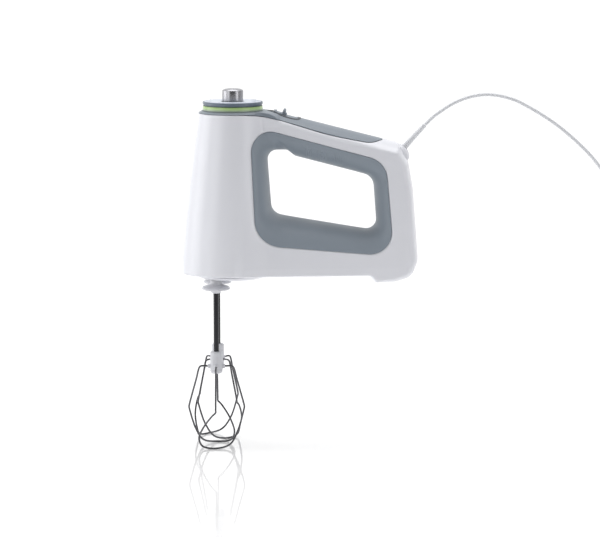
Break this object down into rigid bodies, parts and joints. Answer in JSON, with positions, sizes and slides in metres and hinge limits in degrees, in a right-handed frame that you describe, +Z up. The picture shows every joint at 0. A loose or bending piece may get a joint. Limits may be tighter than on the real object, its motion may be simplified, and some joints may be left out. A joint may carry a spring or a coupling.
{
  "type": "hand mixer",
  "caption": "Electric hand mixer with a looped handle, a turning speed dial, an eject button and two wire whisks driven by a motor and gears inside.",
  "frame": {"origin": "centre of the hand grip: the middle of the handle's upper bar, where a hand holds the mixer", "axes": "+Z up along the whisks towards the dial, +X from the whisk end to the cord, +Y the mixer's right side"},
  "size_m": [0.4957, 0.1596, 0.3394],
  "materials": {
    "white_shell": "glossy injection-moulded white plastic",
    "soft_grip": "matt blue-grey soft-touch overmould",
    "top_cover_grey": "matt blue-grey soft-touch cover",
    "pale_grey": "satin light grey plastic",
    "lime_green": "lime green accent plastic",
    "chrome": "bright chrome plating",
    "white_trim": "white moulded plastic",
    "steel": "machined and stamped steel",
    "lamination": "stacked electrical steel",
    "copper_winding": "enamelled copper wire",
    "gear_nylon": "natural nylon",
    "bronze": "sintered bronze and brass",
    "carbon": "pressed carbon",
    "circuit_board": "glass-fibre board",
    "dark_plastic": "dark heat-proof plastic",
    "cord_grey": "light grey flexible PVC"
  },
  "bodies": {
    "housing": {"housing_left": "white_shell", "housing_right": "white_shell", "grip_left": "soft_grip", "grip_right": "soft_grip", "bottom_cover": "white_shell", "top_cover": "top_cover_grey", "dial_board": "circuit_board", "dial_frame": "dark_plastic", "ejector_spring": "steel", "switch_insert": "top_cover_grey", "switch_body": "dark_plastic", "suppression_capacitor": "pale_grey", "motor_stator": "lamination", "field_coil_front": "copper_winding", "field_coil_rear": "copper_winding", "upper_bearing": "bronze", "lower_bearing": "bronze", "motor_bracket": "steel", "brush_holder_left": "bronze", "brush_holder_right": "bronze", "carbon_brush_left": "carbon", "carbon_brush_right": "carbon", "idler_pin": "steel", "gear_frame": "dark_plastic", "spindle_bush_left": "bronze", "spindle_bush_right": "bronze", "cord_cap": "white_shell", "strain_relief": "cord_grey", "cord_clamp": "dark_plastic", "mains_cord": "cord_grey", "cord_coil": "cord_grey", "plug_body": "cord_grey"},
    "speed_dial": {"speed_dial": "pale_grey", "dial_ring": "lime_green"},
    "eject_button": {"eject_button": "chrome", "ejector_yoke": "dark_plastic"},
    "switch_slider": {"switch_slider": "pale_grey"},
    "armature": {"armature_core": "lamination", "armature_winding": "copper_winding", "commutator": "copper_winding", "motor_shaft": "steel", "cooling_fan": "dark_plastic", "motor_pinion": "steel"},
    "idler": {"idler_gear": "gear_nylon"},
    "spindle_left": {"spindle_left": "steel", "spindle_gear_left": "gear_nylon"},
    "ejector_pin_left": {"ejector_pin_left": "steel"},
    "whisk_left": {"whisk_shaft_left": "chrome", "whisk_collar_left": "white_trim", "whisk_hub_left": "white_trim", "whisk_wire_left_a": "chrome", "whisk_wire_left_b": "chrome"},
    "spindle_right": {"spindle_right": "steel", "spindle_gear_right": "gear_nylon"},
    "ejector_pin_right": {"ejector_pin_right": "steel"},
    "whisk_right": {"whisk_shaft_right": "chrome", "whisk_collar_right": "white_trim", "whisk_hub_right": "white_trim", "whisk_wire_right_a": "chrome", "whisk_wire_right_b": "chrome"}
  },
  "joints": [
    {"name": "dial_turn", "type": "hinge", "parent": "housing", "child": "speed_dial", "pos_m": [-0.0866, 0, 0.036], "axis": [0, 0, -1], "range_deg": [0, 240]},
    {"name": "eject_press", "type": "slide", "parent": "housing", "child": "eject_button", "axis": [0, 0, -1], "range_m": [0, 0.007], "stiffness_N_per_m": 800, "springref_m": -0.003, "deforming": ["ejector_spring"]},
    {"name": "switch_slide", "type": "slide", "parent": "housing", "child": "switch_slider", "axis": [0.9696, 0, -0.2446], "range_m": [0, 0.005]},
    {"name": "spindle_left_spin", "type": "hinge", "parent": "housing", "child": "spindle_left", "pos_m": [-0.1027, -0.019, -0.11], "axis": [0, 0, 1], "continuous": true},
    {"name": "spindle_right_spin", "type": "hinge", "parent": "housing", "child": "spindle_right", "pos_m": [-0.1027, 0.019, -0.11], "axis": [0, 0, 1], "continuous": true},
    {"name": "idler_spin", "type": "hinge", "parent": "housing", "child": "idler", "pos_m": [-0.07776, 0.01905, -0.098], "axis": [0, 0, 1], "continuous": true},
    {"name": "armature_spin", "type": "hinge", "parent": "housing", "child": "armature", "pos_m": [-0.0866, 0, -0.05], "axis": [0, 0, 1], "continuous": true},
    {"name": "ejector_pin_left_push", "type": "slide", "parent": "spindle_left", "child": "ejector_pin_left", "axis": [0, 0, -1], "range_m": [0, 0.007]},
    {"name": "ejector_pin_right_push", "type": "slide", "parent": "spindle_right", "child": "ejector_pin_right", "axis": [0, 0, -1], "range_m": [0, 0.007]},
    {"name": "whisk_left_pull", "type": "slide", "parent": "ejector_pin_left", "child": "whisk_left", "axis": [0, 0, -1], "range_m": [0, 0.028]},
    {"name": "whisk_right_pull", "type": "slide", "parent": "ejector_pin_right", "child": "whisk_right", "axis": [0, 0, -1], "range_m": [0, 0.028]}
  ],
  "couplings": [
    {"joint": "spindle_left_spin", "follows": "armature_spin", "ratio": -0.097656},
    {"joint": "spindle_right_spin", "follows": "armature_spin", "ratio": 0.097656},
    {"joint": "idler_spin", "follows": "armature_spin", "ratio": -0.3125},
    {"joint": "ejector_pin_left_push", "follows": "eject_press", "ratio": 1},
    {"joint": "ejector_pin_right_push", "follows": "eject_press", "ratio": 1}
  ]
}
